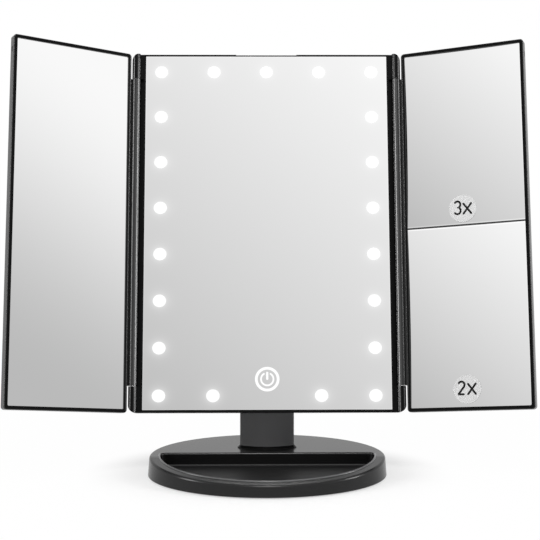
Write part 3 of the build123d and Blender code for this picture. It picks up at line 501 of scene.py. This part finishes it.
def touch_group():
    """Mark is the union of a ring, an arc and a stem. Each is a band of distances to its own centre line:
    the distance less half the line's width, whose sign tells inside from outside."""
    group, given, out = new_group("touch mark", {}, ("Mark",))
    place = use(group, HEAD_PLANE, {"Point": given["Point"]})
    across = place["Across"]
    up = calc(group, "SUBTRACT", place["Up"], TOUCH_UP)
    radius = long_side(group, across, up)
    ring = calc(group, "ABSOLUTE", calc(group, "SUBTRACT", radius, RING_RADIUS))
    ring = calc(group, "SUBTRACT", ring, RING_HALF)

    end_across, end_up = ARC_RADIUS * math.sin(ARC_OPENING), ARC_RADIUS * math.cos(ARC_OPENING)
    beside = calc(group, "SUBTRACT", calc(group, "ABSOLUTE", across), end_across)
    end = long_side(group, beside, calc(group, "SUBTRACT", up, end_up))
    band = calc(group, "ABSOLUTE", calc(group, "SUBTRACT", radius, ARC_RADIUS))
    sector = calc(group, "MULTIPLY", up, math.tan(ARC_OPENING))
    open_top = calc(group, "GREATER_THAN", sector, calc(group, "ABSOLUTE", across))
    arc = calc(group, "MINIMUM", end, calc(group, "MULTIPLY_ADD", open_top, FAR_AWAY, band))
    arc = calc(group, "SUBTRACT", arc, ARC_HALF)

    nearest = calc(group, "MINIMUM", calc(group, "MAXIMUM", up, STEM_LOW), STEM_HIGH)
    stem = long_side(group, calc(group, "SUBTRACT", up, nearest), across)
    stem = calc(group, "SUBTRACT", stem, STEM_HALF)
    shape = calc(group, "MINIMUM", ring, calc(group, "MINIMUM", arc, stem))
    mark = calc(group, "SUBTRACT", 1, step(group, shape, -MARK_BLUR, MARK_BLUR))
    group.links.new(mark, out["Mark"])
    return group


TOUCH = touch_group()
print("group", TOUCH.name, "with a ring of", RING_RADIUS, "mm radius")

# %% Centre glass
# the centre pane's slant of painted reflection, in the order of SLANT
CENTRE = (0.1769, 0.002138, 0.002671, 0.0, 0.507, 0.935)


def lit_glass(name):
    """Silver where nothing is etched. In the windows and the mark it is gone and frosted light shows. Round
    each window the silver gives way to a painted halo of light.
    """
    material, tree, shader, point, tone = silvered(name, border(*CENTRE_HEIGHTS, 0, CENTRE_HALF), CENTRE)
    lamps = use(tree, LAMPS, {"Point": point})
    mark = use(tree, TOUCH, {"Point": point})["Mark"]
    etched = calc(tree, "MAXIMUM", lamps["Window"], mark)
    light = calc(tree, "MAXIMUM", etched, lamps["Glow"])
    silver = calc(tree, "MULTIPLY", tone, calc(tree, "SUBTRACT", 1, light))
    tree.links.new(silver, shader.inputs["Base Color"])
    tree.links.new(calc(tree, "SUBTRACT", 1, etched), shader.inputs["Metallic"])
    tree.links.new(light, shader.inputs["Emission Color"])
    shader.inputs["Emission Strength"].default_value = 1.0
    return material


dress(lit_glass("lit centre silver"), "centre_glass")

# %% [markdown]
# ## Metal, rubber and the inside
# Screws, pins and springs are plated steel: turned or drawn, so the polish has fine lines across it. The
# foot's weight is a cast plate with a coarser skin. Rubber feet and foam pads are matt with a speckle.
# The board shows a green solder mask with paler copper lines under it, and each cell has a dark sleeve
# with a coloured band.

# %% Steel
STEEL_GRAIN, LINE_STRETCH, STEEL_BLUE = 3e-6, 12, 1.02


def steel(name, tone, roughness, line_mm, spread=0.12):
    """Plated steel with fine lines: noise that is drawn out twelve times along x."""
    material, tree, shader, point = new_finish(name, Metallic=1.0)
    drawn = put(tree, "ShaderNodeMapping", {"Vector": point, "Scale": (1 / LINE_STRETCH, 1, 1)})
    lines = {"Point": drawn.outputs[0], "Grain mm": line_mm, "Roughness": roughness, "Spread": spread}
    lines = use(tree, GRAIN, lines)
    colour = mixed(tree, lines["Height"], [tone * DARK_SHARE] * 3, (tone, tone, tone * STEEL_BLUE))
    coat(tree, shader, colour, lines["Sheen"], lines["Height"], STEEL_GRAIN)
    return material


PLATED = steel("plated hinge steel", 0.62, 0.24, 0.15)
dress(PLATED, "tilt_bolt", "tilt_nut", "left_hinge_pins", "right_hinge_pins")
dress(steel("spring and contact steel", 0.68, 0.2, 0.12), "battery_springs", "contact_plates")
SCREWS = steel("dark plated screws", 0.2, 0.34, 0.12)
dress(SCREWS, "cover_screws", "neck_screws", "housing_screws", "board_screws")
dress(steel("cast weight", 0.34, 0.55, 1.4, 0.3), "foot_weight")


# %% Soft and filled materials
def matt(name, dark, light, grain, depth, roughness, ior=1.4):
    """A matt material whose colour moves between two tones with its own grain."""
    material, tree, shader, point = new_finish(name, IOR=ior)
    skin = use(tree, GRAIN, {"Point": point, "Grain mm": grain, "Roughness": roughness, "Spread": 0.1})
    colour = mixed(tree, skin["Height"], dark, light)
    coat(tree, shader, colour, skin["Sheen"], skin["Height"], depth)
    return material


def grey(tone):
    """A tone without colour."""
    return (tone, tone, tone)


FROSTED = (0.74, 0.76, 0.76), (0.86, 0.87, 0.87)
for name, dark, light, grain, depth, roughness, nodes in (
    ("foot rubber", (0.015, 0.015, 0.016), grey(0.035), 0.4, 2e-5, 0.75, ["foot_pads"]),
    ("friction washers", (0.25, 0.2, 0.14), (0.42, 0.36, 0.27), 0.5, 1e-5, 0.6, ["tilt_washers"]),
    ("foam backing", grey(0.05), grey(0.13), 0.6, 6e-5, 0.9, ["left_mirror_pad", "right_mirror_pads"]),
    ("frosted acrylic", *FROSTED, 0.2, 4e-6, 0.45, ["light_spreader", "touch_pad"]),
    ("label film", grey(0.6), grey(0.64), 0.3, 1e-6, 0.4, ["upper_label", "lower_label"]),
    ("white lamp board", (0.68, 0.69, 0.68), (0.8, 0.8, 0.79), 0.8, 3e-6, 0.4, ["light_board"]),
    ("lamp phosphor", (0.72, 0.62, 0.2), (0.85, 0.76, 0.3), 0.3, 4e-6, 0.35, ["light_chips"]),
    ("chip epoxy", (0.014, 0.014, 0.015), (0.04, 0.04, 0.042), 0.25, 6e-6, 0.5, ["control_chip"]),
):
    dress(matt(name, dark, light, grain, depth, roughness), *nodes)

# %% Circuit board
MASK_GREEN, COPPER_GREEN = (0.012, 0.09, 0.04), (0.05, 0.2, 0.08)
CELLS_PER_METRE, TRACE, TRACE_DEPTH = 420, (0.06, 0.1), 3e-5


def circuit_board(name):
    """Green solder mask. Copper lines under it are the thin bands where the cells of a pattern meet."""
    material, tree, shader, point = new_finish(name, IOR=1.5)
    cells = {"Vector": point, "Scale": CELLS_PER_METRE}
    cells = put(tree, "ShaderNodeTexVoronoi", cells, feature="DISTANCE_TO_EDGE", distance="EUCLIDEAN")
    lines = calc(tree, "SUBTRACT", 1, step(tree, cells.outputs["Distance"], *TRACE))
    skin = use(tree, GRAIN, {"Point": point, "Grain mm": 0.5, "Roughness": 0.3, "Spread": 0.08})
    colour = mixed(tree, lines, MASK_GREEN, COPPER_GREEN)
    coat(tree, shader, colour, skin["Sheen"], lines, TRACE_DEPTH)
    return material


dress(circuit_board("green board"), "control_board")

# %% Battery cells
SLEEVE, SLEEVE_BAND, BAND_EDGE = (0.03, 0.035, 0.045), (0.55, 0.4, 0.12), (0.013, 0.0135)


def cell_jacket(name):
    """A shrunk sleeve: dark, with a lighter band near one end of each cell, by its place along x."""
    material, tree, shader, point = new_finish(name, IOR=1.5)
    skin = use(tree, GRAIN, {"Point": point, "Grain mm": 0.8, "Roughness": 0.26, "Spread": 0.06})
    along = put(tree, "ShaderNodeSeparateXYZ", {0: point}).outputs["X"]
    colour = mixed(tree, step(tree, along, *BAND_EDGE), SLEEVE, SLEEVE_BAND)
    coat(tree, shader, colour, skin["Sheen"], skin["Height"], 4e-6)
    return material


dress(cell_jacket("cell sleeves"), "battery_cells")

# %% [markdown]
# ## Printed marks
# Each concave mirror carries a round film with its magnification in plain black characters. A printed
# stroke is a path with a width, so each character is a centre line in millimetres, and the stroke is a
# thin lens carried along it whose width shrinks to nothing at both ends, which makes the ends round and
# the mesh closed. To lie on its film, a stroke is bent onto the mirror's hollow face and swung with the
# wing and the head.

# %% Places on the right wing
# depth and height of the tilt hinge, on the head and in the room
TILT_ON_HEAD, TILT_IN_ROOM = (14.5, 20.0), (18.5, 56.5)
WING_HINGE_DEPTH = -0.6
PANES = {"upper": (1200.0, *UPPER_HEIGHTS), "lower": (1600.0, *LOWER_HEIGHTS)}


def on_head(u, y, v):
    """Head millimetres to world metres: the head leans back about its tilt hinge."""
    c, s = math.cos(LEAN), math.sin(LEAN)
    y, v = y - TILT_ON_HEAD[0], v - TILT_ON_HEAD[1]
    return np.stack([u, TILT_IN_ROOM[0] + y * c + v * s, TILT_IN_ROOM[1] - y * s + v * c], -1) * MM


def on_right_wing(q, y, v):
    """Right wing millimetres to world metres: q runs out from the hinge along the swung wing."""
    c, s = math.cos(RIGHT_SWING), math.sin(RIGHT_SWING)
    return on_head(HINGE_ACROSS + q * c + y * s, WING_HINGE_DEPTH - q * s + y * c, v)


def pane_front(pane, q, v, proud):
    """Depth of a concave pane's face: a sphere through the pane's four corners, less a height."""
    radius, low, high = PANES[pane]
    middle, half = (low + high) / 2, (high - low) / 2
    centre = MIRROR_DEPTH - np.sqrt(radius**2 - PANE_HALF**2 - half**2)
    return centre + np.sqrt((radius - proud) ** 2 - (q - WING_MIDDLE) ** 2 - (v - middle) ** 2)


middles = {pane: float(pane_front(pane, WING_MIDDLE, sum(PANES[pane][1:]) / 2, 0)) for pane in PANES}
print("depth at the panes' middles", {pane: round(depth, 2) for pane, depth in middles.items()}, "mm")


# %% Stroke surface
def stroke_grid(path, width, steps=96, around=12):
    """Rings of an ellipse carried along an open path. The half width at a distance d from the nearer end
    is that of a circle, the root of r squared minus (r minus d) squared, and r itself further in."""
    lengths = np.linalg.norm(np.diff(path, axis=0), axis=1)
    far = np.concatenate([[0], np.cumsum(lengths)])
    total, r = far[-1], width / 2
    t = (1 - np.cos(np.linspace(0, np.pi, steps))) / 2 * total
    line = np.stack([np.interp(t, far, path[:, k]) for k in range(2)], -1)
    ahead = np.gradient(line, axis=0)
    ahead /= np.linalg.norm(ahead, axis=1, keepdims=True)
    side = np.stack([-ahead[:, 1], ahead[:, 0]], -1)
    reach = np.minimum(np.minimum(t, total - t), r)
    half = np.sqrt(np.maximum(r**2 - (r - reach) ** 2, 0))
    turn = np.linspace(0, 2 * np.pi, around, endpoint=False)
    flat = line[:, None, :] + side[:, None, :] * (half[:, None] * np.cos(turn))[..., None]
    lift = (half / r)[:, None] * np.sin(turn)
    return flat, lift


def grid_faces(rows, columns):
    """Quads of a grid whose columns close on themselves."""
    i, j = np.meshgrid(np.arange(rows - 1), np.arange(columns), indexing="ij")
    here, there = i * columns, (i + 1) * columns
    k = (j + 1) % columns
    return np.stack([here + j, here + k, there + k, there + j], -1).reshape(-1, 4)


print("helpers: stroke_grid, grid_faces")


# %% Mesh objects
def mesh_object(name, points, faces, material):
    """A mesh object from numpy points in world metres and quads."""
    mesh = bpy.data.meshes.new(name)
    mesh.from_pydata(points, [], faces.tolist())
    mesh.materials.append(material)
    made = bpy.data.objects.new(name, mesh)
    bpy.context.scene.collection.objects.link(made)
    print(name, "of", len(faces), "faces")
    return made


def surface(name, points, faces, material, body):
    """A smooth shaded mesh object that rides on a body."""
    made = mesh_object(name, points, faces, material)
    made.data.polygons.foreach_set("use_smooth", np.ones(len(faces), bool))
    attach(made, body)


print("helpers: mesh_object, surface")


# %% Characters
def bow(centre, radii, start, end, count=40):
    """Points on an ellipse from one angle to another, in degrees."""
    a = np.radians(np.linspace(start, end, count))
    return np.stack([centre[0] + radii[0] * np.cos(a), centre[1] + radii[1] * np.sin(a)], -1)


def three(w, h):
    """Two bows, the upper one smaller, that meet in a short bar at the middle."""
    top = bow((0, h * 0.25), (w * 0.46, h * 0.25), 160, -62)
    low = bow((0, -h * 0.235), (w * 0.5, h * 0.265), 62, -158)
    bar = np.array([[-w * 0.04, h * 0.015], [w * 0.2, h * 0.015]])
    return [top, low, bar]


def two(w, h):
    """A bow that runs down on a slant to the left, and a foot."""
    top = bow((0, h * 0.5 - w * 0.5), (w * 0.5, w * 0.5), 165, -40)
    slant = np.array([[-w * 0.5, -h * 0.5]])
    return [np.concatenate([top, slant, [[w * 0.5, -h * 0.5]]])]


def cross(w, h):
    """Two straight strokes."""
    return [np.array([[-w / 2, -h / 2], [w / 2, h / 2]]), np.array([[-w / 2, h / 2], [w / 2, -h / 2]])]


print("characters 3, 2, X")

# %% Print the labels
INK = matt("label ink", grey(0.003), grey(0.007), 0.3, 1e-6, 0.5, 1.2)
LABEL_ACROSS, LABEL_UP = 43.225, {"upper": 132.45, "lower": 13.9}
STROKE, FILM_PROUD, INK_HALF = 1.35, 0.27, 0.03


def print_mark(name, pane, strokes, across, up):
    """Lays strokes, in mm about their own middle, on the label of a pane, a hair above the film."""
    points, faces, count = [], [], 0
    for stroke in strokes:
        flat, lift = stroke_grid(stroke, STROKE)
        q, v = flat[..., 0] + LABEL_ACROSS + across, flat[..., 1] + LABEL_UP[pane] + up
        depth = pane_front(pane, q, v, FILM_PROUD) - INK_HALF * lift
        points.append(on_right_wing(q, depth, v).reshape(-1, 3))
        faces.append(grid_faces(*lift.shape) + count)
        count += lift.size
    surface(name, np.concatenate(points), np.concatenate(faces), INK, "right_wing")


print_mark("mark_three", "upper", three(4.3, 8.6), -3.5, 0.7)
print_mark("mark_upper_times", "upper", cross(6.0, 7.8), 3.1, -0.2)
print_mark("mark_two", "lower", two(4.1, 8.15), -3.85, 0.85)
print_mark("mark_lower_times", "lower", cross(5.8, 7.6), 3.0, 0.1)

# %% [markdown]
# ## The lip round the tray
# A fine bead runs along the front edge of the tray, from one rear corner round to the other. It is the
# same kind of surface as a printed stroke, only fuller: an ellipse carried along a path that fades out at
# both ends. The path is an oval a little outside the tray's, laid on the foot's top, which is level at
# the back and falls to the front.

# %% Tray lip
TOP, FALL_START, FALL, BEND = 13.0, -5.0, 4.7 / 53.0, 1.8
LIP_OUTSIDE, LIP_WIDTH, LIP_HEIGHT, LIP_SINK, LIP_CORNER = 0.8, 1.4, 0.72, 0.12, 2.5
LIP_POINTS, LIP_STEPS, LIP_AROUND = 300, 360, 16


def foot_top(y):
    """Height of the foot's top: level, then a straight fall, joined over the bend by a parabola whose
    height is the fall times the square of the way into the bend, over four times the bend."""
    into = np.clip(FALL_START + BEND - y, 0, 2 * BEND)
    return TOP - FALL * into**2 / (4 * BEND) - FALL * np.maximum(FALL_START - BEND - y, 0)


lip_half = [PER_METRE * half + LIP_OUTSIDE for half in TRAY_HALF]
corner = math.degrees(math.asin(LIP_CORNER / lip_half[1]))
path = bow((0, 0), lip_half, 180 - corner, 360 + corner, LIP_POINTS)
flat, lift = stroke_grid(path, LIP_WIDTH, LIP_STEPS, LIP_AROUND)
height = foot_top(flat[..., 1]) - LIP_SINK + LIP_HEIGHT * lift
points = np.stack([flat[..., 0], flat[..., 1], height], -1).reshape(-1, 3) * MM
# its tone, far lighter than the foot's black, is a painted highlight along the tray's front edge
LIP = black_plastic("polished lip with painted highlight", 0.09, *GLOSS, 0.26, 0.02, 1.5)
surface("tray_lip", points, grid_faces(*lift.shape)[:, ::-1], LIP, "foot")

# %% [markdown]
# ## Room and floor
# The mirror stands on a pale floor in an even white room. What the lens and every reflection see of the
# room is plain white. The light that falls on the object is softer than that, and three lamps make up the
# rest: a broad one above and in front, which draws the rounded edges, and a tall narrow one at each side,
# which draws an upright stripe on every hinge barrel. All three stand outside what the panes reflect
# towards the lens.

# %% Room
WHITE, SOFT_STRENGTH, PLAIN_STRENGTH = (1, 1, 1, 1), 0.3, 1.0

room = bpy.data.worlds.new("room")
room.use_nodes = True
bpy.context.scene.world = room
sky = room.node_tree
sky.nodes.clear()
soft = put(sky, "ShaderNodeBackground", {"Color": WHITE, "Strength": SOFT_STRENGTH}).outputs[0]
plain = put(sky, "ShaderNodeBackground", {"Color": WHITE, "Strength": PLAIN_STRENGTH}).outputs[0]
either = put(sky, "ShaderNodeMixShader", {0: seen_directly(sky), 1: soft, 2: plain}).outputs[0]
put(sky, "ShaderNodeOutputWorld", {"Surface": either})
print("room of strength", SOFT_STRENGTH, "as light and", PLAIN_STRENGTH, "as seen")


# %% Lamps
def soft_lamp(name, place, target, size, power):
    """A large rectangular lamp at a place, turned so that it shines at the target."""
    lamp = bpy.data.lights.new(name, "AREA")
    lamp.shape = "RECTANGLE"
    lamp.size, lamp.size_y = size
    lamp.energy = power
    made = bpy.data.objects.new(name, lamp)
    made.location = place
    aim = Vector(target) - Vector(place)
    made.rotation_euler = aim.to_track_quat("-Z", "Y").to_euler()
    made.visible_camera = False
    bpy.context.scene.collection.objects.link(made)
    print(name, power, "W")


soft_lamp("front top lamp", (0, -0.62, 1.12), (0, 0, 0.05), (0.24, 0.34), 5.9)
soft_lamp("left strip lamp", (-1.188, -0.529, 0.52), (0, 0, 0.17), (0.3, 0.7), 7.8)
soft_lamp("right strip lamp", (1.256, -0.336, 0.52), (0, 0, 0.17), (0.3, 0.7), 7.8)

# %% [markdown]
# The floor is plain pale paint, and it has to end in the white of the room without an edge. So the rays
# that see it directly also meet a veil of plain white: half of one close to the foot, where the shadow
# has to stay, nearly all of one outside that, and all of it further away.

# %% Floor paint
FOOT_HALF, FLOOR_ROUGHNESS = (0.078, 0.059), 0.7
VEIL_NEAR, VEIL_ROUND = 0.5, 0.985
SHADOW_RING, OUTER_RING = (1.0, 1.6), (3.0, 9.0)


def veil(tree, point):
    """The share of plain white: its near value up to the shadow's ring, where it rises to its value round
    about, and from there to 1 over the outer ring. Rings are told in sizes of the foot's oval."""
    reach = oval_reach(tree, point, FOOT_HALF)
    share = calc(tree, "MULTIPLY_ADD", step(tree, reach, *SHADOW_RING), VEIL_ROUND - VEIL_NEAR, VEIL_NEAR)
    return calc(tree, "MULTIPLY_ADD", step(tree, reach, *OUTER_RING), 1 - VEIL_ROUND, share, clamp=True)


def floor_paint(name):
    """Pale paint with a slow mottle, under the veil."""
    material, tree, shader, point = new_finish(name, Roughness=FLOOR_ROUGHNESS)
    mottle = put(tree, "ShaderNodeTexNoise", {"Vector": point, "Scale": 3, "Detail": 2}).outputs[0]
    tree.links.new(mixed(tree, mottle, grey(0.93), grey(0.95)), shader.inputs["Base Color"])
    share = calc(tree, "MULTIPLY", seen_directly(tree), veil(tree, point))
    white = put(tree, "ShaderNodeEmission", {"Color": WHITE, "Strength": PLAIN_STRENGTH}).outputs[0]
    both = put(tree, "ShaderNodeMixShader", {0: share, 1: shader.outputs[0], 2: white}).outputs[0]
    tree.links.new(both, tree.nodes["Material Output"].inputs["Surface"])
    return material


PAINT = floor_paint("pale floor")
print("paint", PAINT.name)

# %% Floor
FLOOR_HALF, FLOOR_LINES = 20.0, 9


def floor_grid(half, count):
    """A flat square of quads at height zero, with that many lines each way."""
    side = np.linspace(-half, half, count)
    x, y = np.meshgrid(side, side, indexing="ij")
    i, j = np.meshgrid(np.arange(count - 1), np.arange(count - 1), indexing="ij")
    here, there = i * count + j, (i + 1) * count + j
    faces = np.stack([here, there, there + 1, here + 1], -1)
    return np.stack([x, y, np.zeros_like(x)], -1).reshape(-1, 3), faces.reshape(-1, 4)


floor = mesh_object("floor", *floor_grid(FLOOR_HALF, FLOOR_LINES), PAINT)
